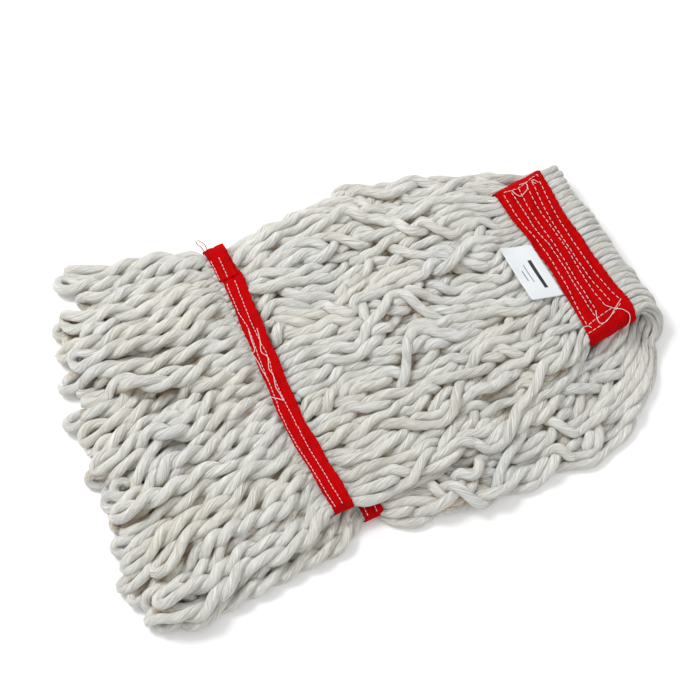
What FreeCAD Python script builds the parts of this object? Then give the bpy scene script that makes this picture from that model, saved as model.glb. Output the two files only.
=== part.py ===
"""String mop head, folded in half over its own yarns and lying flat.

Eight hanks of cotton cord run through a sewn head band, fold back under it, and end in two
fringes of loops, each held by a narrow tail band. All sizes are millimetres. The origin is on
the floor under the middle of the mop: +X points to the fold, +Y to the far side and +Z up.
"""

import FreeCAD, Part
import os

hank_count = 8
head_rows = 6
tail_rows = 2

driving = {
    # yarn
    "cord": 5.6,  # thickness of one cord where it is pressed
    "cord_gap": 0.4,
    "hank_gap": 0.8,  # between neighbouring hanks
    "body_gap": 0.3,  # between pieces that move apart
    "layer_gap": 2.0,  # between the lower and the upper half
    "head_height": 16.0,  # yarn thickness in the head band
    "middle_height": 14.5,
    "tail_height": 12.0,
    # fold line and head band
    "fold_x": 224.5,
    "fold_y": -32.0,
    "fold_width": 164.0,
    "fold_radius": 1.5,  # inside of the fold
    "head_length": 153.0,
    "head_width": 44.0,
    "head_y": -30.5,
    "head_margin": 6.0,  # from the band's edge to the fold line
    "head_hem": 4.0,  # closed ends of the band
    "tape": 1.0,  # thickness of the band's tape
    # spread between the bands
    "shoulder_width": 214.0,
    "shoulder_y": -45.0,
    "middle_x": 110.0,
    "upper_middle_width": 228.0,
    "upper_middle_y": -26.0,
    "lower_middle_width": 264.0,
    "lower_middle_y": -37.5,
    # tail bands
    "tail_length": 248.0,
    "tail_width": 17.0,
    "tail_hem": 3.0,
    "tail_lean": 4.9,  # degrees, the far end towards the head
    "upper_tail_x": -53.0,
    "upper_tail_y": 1.5,
    "lower_tail_x": -33.5,
    "lower_tail_y": -11.5,
    # fringes: length and sideways lean at the near and the far edge
    "upper_near_reach": 161.0,
    "upper_far_reach": 125.0,
    "upper_near_splay": -4.7,
    "upper_far_splay": 22.7,
    "lower_near_reach": 176.0,
    "lower_far_reach": 126.0,
    "lower_near_splay": -1.0,
    "lower_far_splay": 9.0,
    # stitching and label
    "stitch": 0.9,
    "stitch_depth": 0.4,
    "row_inset": 6.0,  # first and last lengthwise row to the band's edge
    "end_inset": 9.0,  # cross rows to the band's ends
    "label_length": 52.0,
    "label_width": 25.0,
    "label_y": -31.0,
    "label_sheet": 0.5,
}

# as many loops in a hank as lie side by side in its share of the tail band
hank_room = (driving["tail_length"] - 2 * driving["tail_hem"]) / hank_count
loops_per_hank = int(hank_room / (driving["cord"] + driving["cord_gap"]))

# shorter and longer loops within a hank
loop_trims = (0.0, -9.0, -3.0, -12.0, -5.0)

document = FreeCAD.newDocument("string_mop")
sheet = document.addObject("Spreadsheet::Sheet", "dims")
for row, (name, value) in enumerate(driving.items(), 1):
    sheet.set(f"A{row}", name)
    sheet.set(f"B{row}", str(value))
    sheet.setAlias(f"B{row}", name)
document.recompute()

along_y = FreeCAD.Rotation(  # a cylinder's axis along +Y, its sector from +Z over +X to -Z
    FreeCAD.Vector(0, 0, 1), FreeCAD.Vector(1, 0, 0), FreeCAD.Vector(0, 1, 0), "ZXY"
)
to_tail = FreeCAD.Rotation(FreeCAD.Vector(0, 1, 0), -90)  # a cylinder's axis along -X
tip_turn = FreeCAD.Rotation(  # half a torus from +Z over -X to -Z
    FreeCAD.Vector(0, 0, 1), FreeCAD.Vector(-1, 0, 0), FreeCAD.Vector(0, -1, 0), "ZXY"
)
quarter = FreeCAD.Rotation(FreeCAD.Vector(0, 0, 1), 90)  # a wedge's length along -X
nodes = []


def bind(item, sizes):
    """Ties properties of an object to expressions of the sheet."""
    for name, expression in sizes.items():
        item.setExpression(name, str(expression))
    return item


def place(x, y, z):
    return {
        "Placement.Base.x": x,
        "Placement.Base.y": y,
        "Placement.Base.z": z,
    }


def node(item, name):
    """Marks a finished sub-part: its Label is its name."""
    item.Label = name
    nodes.append(item)
    return item


def box(name, length, width, height, at):
    item = document.addObject("Part::Box", name)
    return bind(item, {"Length": length, "Width": width, "Height": height, **place(*at)})


def cylinder(name, radius, height, turn, at, angle=360):
    item = document.addObject("Part::Cylinder", name)
    item.Placement = FreeCAD.Placement(FreeCAD.Vector(), turn)
    item.Angle = angle
    return bind(item, {"Radius": radius, "Height": height, **place(*at)})


def fuse(name, pieces):
    item = document.addObject("Part::MultiFuse", name)
    item.Shapes = pieces
    return item


def cut(name, base, tool):
    item = document.addObject("Part::Cut", name)
    item.Base = base
    item.Tool = tool
    return item


def turned(centre, lean, local):
    """The place of a local point of a frame that leans about +Z: two expressions."""
    x = f"{centre[0]} + cos({lean}) * ({local[0]}) + sin({lean}) * ({local[1]})"
    y = f"{centre[1]} - sin({lean}) * ({local[0]}) + cos({lean}) * ({local[1]})"
    return x, y


# levels of the two layers, as expressions
upper_floor = "(dims.head_height + 2 * dims.fold_radius)"
upper_roof = f"({upper_floor} + dims.head_height)"
middle_roof = "(dims.middle_height + dims.layer_gap + dims.middle_height)"
fold_z = f"({upper_floor} - dims.fold_radius)"
band_top = f"({upper_roof} + dims.tape)"
head_right = "(dims.fold_x - dims.head_margin)"
head_left = f"({head_right} - dims.head_width)"
head_room = "(dims.head_length - 2 * dims.head_hem)"
tail_room = "(dims.tail_length - 2 * dims.tail_hem)"
upper_tail_floor = "(3 * dims.tape + dims.tail_height + dims.layer_gap / 2)"
tails = {
    "lower": ("dims.lower_tail_x", "dims.lower_tail_y", "dims.tape"),
    "upper": ("dims.upper_tail_x", "dims.upper_tail_y", upper_tail_floor),
}


def share(centre, width, hank):
    """Low and high edge of one hank's share of a layer's width."""
    low = f"({centre} - {width} / 2 + {width} * {hank - 1} / {hank_count} + dims.hank_gap / 2)"
    return low, f"({low} + {width} / {hank_count} - dims.hank_gap)"


def tail_station(layer, hank, side):
    """Where a hank passes the tail band's edge: side is +1 towards the head, -1 to the fringe."""
    x, y, floor = tails[layer]
    along = f"({tail_room} * ({hank - 0.5} / {hank_count} - 0.5))"
    reach = f"({side} * (dims.tail_width / 2 + dims.hank_gap + dims.body_gap))"
    edge_x, edge_y = turned((x, y), "dims.tail_lean", (reach, along))
    half = f"(({tail_room} / {hank_count} * cos(dims.tail_lean) - dims.hank_gap) / 2)"
    middle_y = f"({edge_y} + sin(dims.tail_lean) * {reach})"
    low = f"({middle_y} - {half})"
    return f"({edge_x})", (low, f"({low} + 2 * {half})"), (floor, f"({floor} + dims.tail_height)")


def layer_stations(layer, hank):
    """Sections of one hank from the fold to the fringe: x, y range and z range."""
    fold = share("dims.fold_y", "dims.fold_width", hank)
    tail = [tail_station(layer, hank, side) for side in (1, -1)]
    if layer == "upper":
        head = share("dims.head_y", head_room, hank)
        middle = share("dims.upper_middle_y", "dims.upper_middle_width", hank)
        level = (upper_floor, upper_roof)
        middle_floor = "(dims.middle_height + dims.layer_gap)"
        return [
            ("(dims.fold_x - dims.body_gap)", fold, level),
            (f"({head_right} + dims.hank_gap)", head, level),
            (f"({head_left} - dims.hank_gap)", head, level),
            ("dims.middle_x", middle, (middle_floor, middle_roof)),
            *tail,
        ]
    shoulder = share("dims.shoulder_y", "dims.shoulder_width", hank)
    middle = share("dims.lower_middle_y", "dims.lower_middle_width", hank)
    return [
        ("dims.fold_x", fold, ("0", "dims.head_height")),
        (head_left, shoulder, ("0", "dims.head_height")),
        ("dims.middle_x", middle, ("0", "dims.middle_height")),
        *tail,
    ]


def make_hank(layer, hank):
    """A hank is a chain of wedges between its sections."""
    stations = layer_stations(layer, hank)
    pieces = []
    for number, (start, end) in enumerate(zip(stations, stations[1:])):
        item = document.addObject("Part::Wedge", f"{layer}_hank_{hank}_{number}")
        item.Placement = FreeCAD.Placement(FreeCAD.Vector(), quarter)
        # the wedge's own X runs along the mop's +Y, and its Y from the head to the tail
        sizes = {"Ymin": f"-({start[0]})", "Ymax": f"-({end[0]})"}
        sizes.update({"Xmin": start[1][0], "Xmax": start[1][1]})
        sizes.update({"Zmin": start[2][0], "Zmax": start[2][1]})
        sizes.update({"X2min": end[1][0], "X2max": end[1][1]})
        sizes.update({"Z2min": end[2][0], "Z2max": end[2][1]})
        pieces.append(bind(item, sizes))
    node(fuse(f"{layer}_yarn_{hank}", pieces), f"{layer}_yarn_{hank}")


def make_fold(hank):
    """The yarns of one hank as they turn back at the fold: half a ring about the fold line."""
    low, high = share("dims.fold_y", "dims.fold_width", hank)
    width = f"{high} - {low}"
    outer_radius = "dims.fold_radius + dims.head_height"
    at = ("dims.fold_x", low, fold_z)
    outer = cylinder(f"fold_outer_{hank}", outer_radius, width, along_y, at, 180)
    inner = cylinder(f"fold_inner_{hank}", "dims.fold_radius", width, along_y, at, 180)
    node(cut(f"fold_yarn_{hank}", outer, inner), f"fold_yarn_{hank}")


def make_loops(layer, hank):
    """The ends of one hank: hairpin loops of cord that lie beyond the tail band."""
    x, y, floor = tails[layer]
    base = "0" if layer == "lower" else floor
    lower_axis = f"({base} + dims.cord / 2)"
    rise = "(dims.cord + dims.cord_gap)"
    pitch = f"({tail_room} / {hank_count * loops_per_hank})"
    slant = f"tan(dims.tail_lean) * {tail_room} / {2 * hank_count}"
    slant += f" + sin(abs(dims.{layer}_far_splay)) * dims.cord / 2"
    edge = f"(-(dims.tail_width / 2 + dims.hank_gap + 2 * dims.body_gap + {slant}))"
    hairpins = []
    for loop in range(loops_per_hank):
        number = (hank - 1) * loops_per_hank + loop
        part_way = number / (hank_count * loops_per_hank - 1)
        near, far = f"dims.{layer}_near_reach", f"dims.{layer}_far_reach"
        reach = f"({near} - ({near} - {far}) * {part_way:.3f} ^ 2 + {loop_trims[loop % len(loop_trims)]})"
        splay = f"(dims.{layer}_near_splay + (dims.{layer}_far_splay"
        splay += f" - dims.{layer}_near_splay) * {part_way:.3f})"
        tag = f"{layer}_{hank}_{loop}"
        pieces = []
        for level in (0, 1):
            axis_z = f"{lower_axis} + {level} * {rise}"
            leg = cylinder(f"leg_{tag}_{level}", "dims.cord / 2", reach, to_tail, ("0", "0", axis_z))
            pieces.append(leg)
        tip = document.addObject("Part::Torus", f"tip_{tag}")
        tip.Placement = FreeCAD.Placement(FreeCAD.Vector(), tip_turn)
        tip.Angle3 = 180
        bind(tip, {"Radius1": f"{rise} / 2", "Radius2": "dims.cord / 2"})
        bind(tip, place(f"-{reach}", "0", f"{lower_axis} + {rise} / 2"))
        pieces.append(tip)
        hairpin = fuse(f"hairpin_{tag}", pieces)
        along = f"({tail_room} / -2 + {pitch} * {number + 0.5})"
        root_x, root_y = turned((x, y), "dims.tail_lean", (edge, along))
        bind(hairpin, {"Placement.Rotation.Angle": f"-1 * {splay}", **place(root_x, root_y, "0")})
        hairpins.append(hairpin)
    group = document.addObject("Part::Compound", f"{layer}_loops_{hank}")
    group.Links = hairpins
    node(group, f"{layer}_loops_{hank}")


def grooved_band(name, length, width, hem, height, floor, rows, at, lean):
    """A flattened sleeve of tape round the yarns, grooved on top where the stitching lies.

    rows are boxes in the band's own frame: length, width, middle x and middle y.
    """
    sleeve_height = f"{height} + 2 * dims.tape"
    corner = (f"-{width} / 2", f"-{length} / 2", "0")
    outer = box(f"{name}_outer", width, length, sleeve_height, corner)
    rounded = document.addObject("Part::Fillet", f"{name}_rounded")
    rounded.Base = outer
    document.recompute()
    ends = [
        number
        for number, edge in enumerate(outer.Shape.Edges, 1)
        if abs(edge.tangentAt(edge.FirstParameter).x) > 0.9
    ]
    radius = driving["tape"] + 2.0
    rounded.Edges = [(number, radius, radius) for number in ends]
    inner_size = (f"{width} + 2 * dims.tape", f"{length} - 2 * {hem}", height)
    inner_corner = (f"-{width} / 2 - dims.tape", f"-({length} - 2 * {hem}) / 2", "dims.tape")
    inner = box(f"{name}_inner", *inner_size, inner_corner)
    sleeve = cut(f"{name}_sleeve", rounded, inner)
    grooves = []
    top = f"{sleeve_height} - dims.stitch_depth"
    for number, (row_name, across, along, x, y) in enumerate(rows, 1):
        size = (across, along, "dims.stitch_depth")
        local = (f"({x}) - ({across}) / 2", f"({y}) - ({along}) / 2")
        grooves.append(box(f"{name}_groove_{number}", *size, (*local, top)))
        stitch_x, stitch_y = turned(at, lean, local)
        row = box(row_name, *size, (stitch_x, stitch_y, f"{floor} + {top}"))
        bind(row, {"Placement.Rotation.Angle": f"-1 * {lean}"})
        node(row, row_name)
    band = cut(name, sleeve, fuse(f"{name}_grooves", grooves))
    bind(band, {"Placement.Rotation.Angle": f"-1 * {lean}", **place(*at, floor)})
    node(band, name)


def make_head_band():
    """Wide tape with six lengthwise rows of stitching between a row across each end."""
    across_room = "(dims.head_width - 2 * dims.row_inset)"
    end_y = "(dims.head_length / 2 - dims.end_inset)"
    row_length = f"(2 * {end_y} - 2 * dims.stitch - 2 * dims.body_gap)"
    rows = []
    for number in range(head_rows):
        x = f"({across_room} * ({number} / {head_rows - 1} - 0.5))"
        rows.append((f"head_stitch_row_{number + 1}", "dims.stitch", row_length, x, "0"))
    for name, side in (("head_end_stitch_near", -1), ("head_end_stitch_far", 1)):
        rows.append((name, f"({across_room} + dims.stitch)", "dims.stitch", "0", f"{side} * {end_y}"))
    at = (f"({head_left} + dims.head_width / 2)", "dims.head_y")
    size = ("dims.head_length", "dims.head_width", "dims.head_hem", "dims.head_height")
    grooved_band("head_band", *size, f"({upper_floor} - dims.tape)", rows, at, "0")


def make_tail_band(layer):
    """Narrow tape with two lengthwise rows of stitching."""
    x, y, floor = tails[layer]
    row_length = "(dims.tail_length - 2 * dims.row_inset)"
    rows = []
    for number in range(tail_rows):
        row_x = f"(dims.tail_width * ({number + 1} / {tail_rows + 1} - 0.5))"
        rows.append((f"{layer}_tail_stitch_{number + 1}", "dims.stitch", row_length, row_x, "0"))
    size = ("dims.tail_length", "dims.tail_width", "dims.tail_hem", "dims.tail_height")
    sleeve_floor = f"({floor} - dims.tape)"
    grooved_band(f"{layer}_tail_band", *size, sleeve_floor, rows, (x, y), "dims.tail_lean")


def make_label():
    """A small satin label whose root is caught in the head band's left edge."""
    right = f"({head_left} - 2 * dims.body_gap)"
    corner = (
        f"({right} - dims.label_width)",
        "(dims.label_y - dims.label_length / 2)",
        f"(max({upper_roof}; {middle_roof}) + dims.body_gap)",
    )
    item = box("care_label", "dims.label_width", "dims.label_length", "dims.label_sheet", corner)
    node(item, "care_label")


for hank in range(1, hank_count + 1):
    for layer in ("lower", "upper"):
        make_hank(layer, hank)
        make_loops(layer, hank)
    make_fold(hank)
make_head_band()
make_tail_band("upper")
make_tail_band("lower")
make_label()
document.recompute()

for item in document.Objects:
    if {"Invalid", "Error"} & set(item.State):
        raise RuntimeError(f"{item.Name} did not rebuild: {item.State}")
for item in nodes:
    if item.Shape.isNull() or not item.Shape.isValid():
        raise RuntimeError(f"{item.Label} has no valid shape")

os.makedirs("parts", exist_ok=True)
for item in nodes:
    item.Shape.exportStep(f"parts/{item.Label}.step")
print(f"{len(nodes)} nodes written")
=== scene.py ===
import math

import bpy
import numpy as np
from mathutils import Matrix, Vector


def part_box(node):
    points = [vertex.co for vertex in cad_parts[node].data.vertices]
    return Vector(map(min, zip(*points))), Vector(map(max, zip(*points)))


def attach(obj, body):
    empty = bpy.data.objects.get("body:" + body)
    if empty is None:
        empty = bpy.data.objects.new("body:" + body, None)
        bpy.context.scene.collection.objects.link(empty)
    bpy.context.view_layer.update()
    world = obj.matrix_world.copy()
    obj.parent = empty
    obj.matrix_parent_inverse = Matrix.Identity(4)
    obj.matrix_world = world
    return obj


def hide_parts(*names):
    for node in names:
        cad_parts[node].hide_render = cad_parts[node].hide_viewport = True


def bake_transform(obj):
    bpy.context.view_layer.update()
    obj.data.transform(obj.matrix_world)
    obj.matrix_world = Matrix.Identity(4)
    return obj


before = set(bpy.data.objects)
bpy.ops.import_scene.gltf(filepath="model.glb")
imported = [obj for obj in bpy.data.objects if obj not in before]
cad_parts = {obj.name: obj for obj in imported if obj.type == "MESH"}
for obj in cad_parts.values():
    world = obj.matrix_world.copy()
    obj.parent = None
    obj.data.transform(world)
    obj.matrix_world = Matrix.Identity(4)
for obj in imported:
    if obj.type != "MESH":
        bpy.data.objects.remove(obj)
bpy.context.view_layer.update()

# everything is worked out in millimetres and turned into metres when a mesh is made
metre = 0.001
hankCount = 8


def boxOf(node):  # lowest and highest corner of a frame node, in millimetres
    low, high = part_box(node)
    return np.array(low) / metre, np.array(high) / metre


headLow, headHigh = boxOf("head_band")
foldLow, foldHigh = boxOf("fold_yarn_1")
foldLine = np.array([foldLow[0], (foldLow[2] + foldHigh[2]) / 2])  # x and z of the fold
tailBoxes = {layer: boxOf(layer + "_tail_band") for layer in ("upper", "lower")}

# camera, light and floor

cameraLook = {
    "azimuth": -31,
    "elevation": 68,
    "distance": 1.45,
    "lens": 92.1,
    "target": (0.013, -0.002, 0.0),
}


def aim(obj, place, target):
    obj.location = place
    obj.rotation_euler = (Vector(target) - Vector(place)).to_track_quat("-Z", "Y").to_euler()


def makeCamera():
    azimuth, elevation = (math.radians(cameraLook[word]) for word in ("azimuth", "elevation"))
    back = (
        math.sin(azimuth) * math.cos(elevation),
        -math.cos(azimuth) * math.cos(elevation),
        math.sin(elevation),
    )
    target = cameraLook["target"]
    place = [t + cameraLook["distance"] * b for t, b in zip(target, back)]
    data = bpy.data.cameras.new("camera")
    data.lens = cameraLook["lens"]
    data.sensor_width = 36
    camera = bpy.data.objects.new("camera", data)
    bpy.context.collection.objects.link(camera)
    aim(camera, place, target)
    bpy.context.scene.camera = camera


studio = {
    "floorSize": 8.0,
    "floorColour": (0.99, 0.99, 0.99, 1),
    "sky": 0.72,
    "lamps": (  # name, place, size, watts
        ("keyLamp", (-0.5, 1.1, 1.5), 0.7, 24),
        ("fillLamp", (1.1, -0.9, 1.3), 1.4, 4),
    ),
}


def makeStudio():
    size = studio["floorSize"] / 2
    mesh = bpy.data.meshes.new("floor")
    corners = [(-size, -size, 0), (size, -size, 0), (size, size, 0), (-size, size, 0)]
    mesh.from_pydata(corners, [], [(0, 1, 2, 3)])
    floor = bpy.data.objects.new("floor", mesh)
    bpy.context.collection.objects.link(floor)
    paint = bpy.data.materials.new("floorPaint")
    paint.use_nodes = True
    shader = paint.node_tree.nodes["Principled BSDF"]
    shader.inputs["Base Color"].default_value = studio["floorColour"]
    shader.inputs["Roughness"].default_value = 0.9
    mesh.materials.append(paint)
    world = bpy.data.worlds.new("sky")
    world.use_nodes = True
    sky = world.node_tree.nodes["Background"]
    sky.inputs["Color"].default_value = (1, 1, 1, 1)
    sky.inputs["Strength"].default_value = studio["sky"]
    bpy.context.scene.world = world
    bpy.context.scene.view_settings.view_transform = "Standard"
    for name, place, width, watts in studio["lamps"]:
        data = bpy.data.lights.new(name, "AREA")
        data.size, data.energy = width, watts
        lamp = bpy.data.objects.new(name, data)
        bpy.context.collection.objects.link(lamp)
        aim(lamp, place, (0, 0, 0))


makeCamera()
makeStudio()
print("camera and studio are set")

# materials; a value in a look dictionary is a colour, a count or a share, and relief is in metres


def join(tree, node, **sockets):
    # sets a node's inputs: an output socket is linked to, and anything else is a plain value
    for word, value in sockets.items():
        socket = node.inputs[int(word[1:])] if word[1:].isdigit() else node.inputs[word]
        if isinstance(value, bpy.types.NodeSocket):
            tree.links.new(value, socket)
        else:
            socket.default_value = value
    return node


def reckon(tree, operation, *values):
    node = tree.nodes.new("ShaderNodeMath")
    node.operation = operation
    join(tree, node, **{f"n{place}": value for place, value in enumerate(values)})
    return node.outputs[0]


def ramp(tree, value, low, high, start=0.0, end=1.0):
    node = tree.nodes.new("ShaderNodeMapRange")
    join(tree, node, n0=value, n1=low, n2=high, n3=start, n4=end)
    return node.outputs[0]


def blendColours(tree, factor, first, second, way="MIX"):
    node = tree.nodes.new("ShaderNodeMix")
    node.data_type = "RGBA"
    node.blend_type = way
    join(tree, node, n0=factor, n6=first, n7=second)
    return node.outputs[2]


def noise(tree, vector, scale, detail=2.0, roughness=0.5):
    node = tree.nodes.new("ShaderNodeTexNoise")
    join(tree, node, Vector=vector, Scale=scale, Detail=detail, Roughness=roughness)
    return node.outputs["Fac"]


def newGroup(name, inputs, outputs):
    tree = bpy.data.node_groups.new(name, "ShaderNodeTree")
    for word, kind, value in inputs:
        socket = tree.interface.new_socket(word, in_out="INPUT", socket_type="NodeSocket" + kind)
        if value is not None:
            socket.default_value = value
    for word, kind in outputs:
        tree.interface.new_socket(word, in_out="OUTPUT", socket_type="NodeSocket" + kind)
    return tree, tree.nodes.new("NodeGroupInput").outputs, tree.nodes.new("NodeGroupOutput")


def placeGroup(tree, group, **values):
    node = tree.nodes.new("ShaderNodeGroup")
    node.node_tree = group
    for word, value in values.items():
        join(tree, node, **{word: value})
    return node.outputs


def makeTwistGroup():
    # fibres that wind round a cord: the way round it is turned in step with the way along it,
    # laid on a circle so that no seam shows, and drawn out along the cord
    tree, given, result = newGroup("twistedFibres", (
        ("Around", "Float", 0.0), ("Along", "Float", 0.0), ("Turns", "Float", 0.6),
        ("Fineness", "Float", 5.0), ("Stretch", "Float", 2.0)),
        (("Fibres", "Float"), ("Hanks", "Float")))
    turned = reckon(tree, "MULTIPLY_ADD", given["Along"], given["Turns"], given["Around"])
    angle = reckon(tree, "MULTIPLY", turned, 2 * math.pi)
    for output, share in (("Fibres", 1.0), ("Hanks", 0.3)):
        reach = reckon(tree, "MULTIPLY", given["Fineness"], share)
        place = tree.nodes.new("ShaderNodeCombineXYZ")
        join(tree, place, X=reckon(tree, "MULTIPLY", reckon(tree, "COSINE", angle), reach),
             Y=reckon(tree, "MULTIPLY", reckon(tree, "SINE", angle), reach),
             Z=reckon(tree, "MULTIPLY", given["Along"], reckon(tree, "MULTIPLY", given["Stretch"], share)))
        lines = noise(tree, place.outputs[0], 1.0, 3.0, 0.62)
        tree.links.new(lines, result.inputs[output])
    return tree


def makeWeaveGroup():
    # crossing threads: two waves, each showing where it lies on top of the other
    tree, given, result = newGroup("wovenThreads", (
        ("Across", "Float", 0.0), ("Along", "Float", 0.0), ("Count", "Float", 10.0),
        ("Slant", "Float", 0.0)), (("Height", "Float"), ("Slub", "Float")))
    waves = []
    for first, second in (("Across", "Along"), ("Along", "Across")):
        slanted = reckon(tree, "MULTIPLY_ADD", given[second], given["Slant"], given[first])
        turn = reckon(tree, "MULTIPLY", reckon(tree, "MULTIPLY", slanted, given["Count"]), 2 * math.pi)
        waves.append(reckon(tree, "SINE", turn))
    both = reckon(tree, "MULTIPLY", *waves)
    height = reckon(tree, "MULTIPLY_ADD", both, 0.5, 0.5)
    place = tree.nodes.new("ShaderNodeCombineXYZ")
    join(tree, place, X=reckon(tree, "MULTIPLY", given["Across"], given["Count"]),
         Y=reckon(tree, "MULTIPLY", given["Along"], 0.6))
    slub = noise(tree, place.outputs[0], 1.0, 3.0, 0.6)
    tree.links.new(height, result.inputs["Height"])
    tree.links.new(slub, result.inputs["Slub"])
    return tree


def newMaterial(name):
    material = bpy.data.materials.new(name)
    material.use_nodes = True
    tree = material.node_tree
    shader = tree.nodes["Principled BSDF"]
    uv = tree.nodes.new("ShaderNodeUVMap")
    uv.uv_map = "weave"
    split = tree.nodes.new("ShaderNodeSeparateXYZ")
    tree.links.new(uv.outputs[0], split.inputs[0])
    return material, tree, shader, split.outputs


def attribute(tree, name):
    node = tree.nodes.new("ShaderNodeAttribute")
    node.attribute_name = name
    return node.outputs["Fac"]


def addBump(tree, shader, height, distance, strength=1.0):
    bump = tree.nodes.new("ShaderNodeBump")
    join(tree, bump, Height=height, Distance=distance, Strength=strength)
    tree.links.new(bump.outputs[0], shader.inputs["Normal"])


cottonLook = {
    "bright": (0.955, 0.95, 0.905, 1),
    "cream": (0.93, 0.905, 0.82, 1),
    "cool": (0.915, 0.93, 0.915, 1),
    "pileShade": (0.62, 0.48, 0.32, 1),  # painted shade, far inside the pile
    "grooveShade": (0.62, 0.595, 0.53, 1),  # painted shade: multiplies the colour between plies and fibres
    "creamPatches": 26.0,
    "coolPatches": 17.0,
    "turns": 0.44,  # of the fibres round the cord, in one 25 mm
    "fineness": 5.6,
    "stretch": 1.0,
    "plies": 1.7,  # how much higher the plies stand than single fibres
    "relief": 0.0028,
}


def makeCotton(fibres):
    look = cottonLook
    material, tree, shader, way = newMaterial("cottonCord")
    body = tree.nodes.new("ShaderNodeTexCoord").outputs["Object"]
    twist = placeGroup(tree, fibres, Around=way["X"], Along=way["Y"], Turns=look["turns"],
                       Fineness=look["fineness"], Stretch=look["stretch"])
    # each cord has its own tone, and slow patches of cream and of a cooler white lie over all
    tone = reckon(tree, "MULTIPLY", attribute(tree, "tone"), 0.5)
    patch = reckon(tree, "MULTIPLY", noise(tree, body, look["creamPatches"], 2.0), 0.6)
    creamy = ramp(tree, reckon(tree, "ADD", tone, patch), 0.35, 0.8)
    colour = blendColours(tree, creamy, look["bright"], look["cream"])
    cool = noise(tree, body, look["coolPatches"], 1.0)
    colour = blendColours(tree, ramp(tree, cool, 0.52, 0.75, 0.0, 0.7), colour, look["cool"])
    # painted shade: the lows between plies and between fibres are painted darker
    groove = ramp(tree, twist["Hanks"], 0.28, 0.50, 0.8, 0.0)
    fine = ramp(tree, twist["Fibres"], 0.32, 0.56, 0.64, 0.0)
    shade = reckon(tree, "MAXIMUM", groove, fine)
    colour = blendColours(tree, shade, colour, look["grooveShade"], "MULTIPLY")
    # painted shade: points deep inside a pile get a darker, browner colour
    pileShadeAmount = ramp(tree, attribute(tree, "depth"), 0.25, 1.0, 0.0, 0.8)
    colour = blendColours(tree, pileShadeAmount, colour, look["pileShade"])
    relief = reckon(tree, "MULTIPLY_ADD", twist["Hanks"], look["plies"], twist["Fibres"])
    addBump(tree, shader, relief, look["relief"])
    join(tree, shader, **{"Base Color": colour, "Roughness": 0.92, "Sheen Weight": 0.25,
                          "Sheen Roughness": 0.6})
    return material


tapeLook = {
    "red": (0.56, 0.0, 0.0012, 1),
    "dark": (0.24, 0.0, 0.001, 1),
    "count": 11.0,  # threads in 10 mm
    "relief": 0.00022,
}


def makeTape(weave):
    look = tapeLook
    material, tree, shader, way = newMaterial("redTape")
    threads = placeGroup(tree, weave, Across=way["X"], Along=way["Y"], Count=look["count"], Slant=0.0)
    slub = ramp(tree, threads["Slub"], 0.35, 0.65)
    colour = blendColours(tree, reckon(tree, "MULTIPLY", slub, 0.35), look["red"], look["dark"])
    # painted shade: the lows of the weave are painted darker
    weaveShade = ramp(tree, threads["Height"], 0.0, 0.5, 0.4, 0.0)
    colour = blendColours(tree, weaveShade, colour, look["dark"])
    # painted shade: darker in the quilted lines, at the turned-down edges and in the crumples' hollows
    creaseShade = ramp(tree, attribute(tree, "crease"), 0.1, 1.0, 0.0, 0.85)
    colour = blendColours(tree, creaseShade, colour, look["dark"])
    relief = reckon(tree, "ADD", threads["Height"], reckon(tree, "MULTIPLY", threads["Slub"], 1.2))
    addBump(tree, shader, relief, look["relief"])
    rough = ramp(tree, threads["Slub"], 0.3, 0.7, 0.72, 0.9)
    join(tree, shader, **{"Base Color": colour, "Roughness": rough, "Specular IOR Level": 0.06})
    return material


threadLook = {
    "dark": (0.66, 0.47, 0.48, 1),  # white thread that takes a blush from the tape
    "light": (0.86, 0.73, 0.73, 1),
    "turns": 9.0,
    "fineness": 1.6,
    "stretch": 2.0,
    "relief": 0.0002,
}


def makeThread(fibres):
    look = threadLook
    material, tree, shader, way = newMaterial("sewingThread")
    twist = placeGroup(tree, fibres, Around=way["X"], Along=way["Y"], Turns=look["turns"],
                       Fineness=look["fineness"], Stretch=look["stretch"])
    colour = blendColours(tree, ramp(tree, twist["Fibres"], 0.35, 0.6), look["dark"], look["light"])
    addBump(tree, shader, twist["Fibres"], look["relief"])
    join(tree, shader, **{"Base Color": colour, "Roughness": 0.55})
    return material


labelLook = {
    "satin": (0.70, 0.735, 0.755, 1),
    "weft": (0.60, 0.62, 0.64, 1),
    "ink": (0.012, 0.013, 0.018, 1),
    "bars": (  # plain bars stand for printing: middle across, middle along, half sizes, strength
        (0.36, 0.45, 0.055, 0.27, 1.0),
        (0.60, 0.49, 0.014, 0.17, 0.75),
        (0.74, 0.46, 0.02, 0.1, 0.65),
    ),
    "barEdge": 0.004,
    "size": (2.6, 5.2),  # in units of 10 mm
    "count": 26.0,  # threads in 10 mm
    "relief": 0.00003,
}


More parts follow.
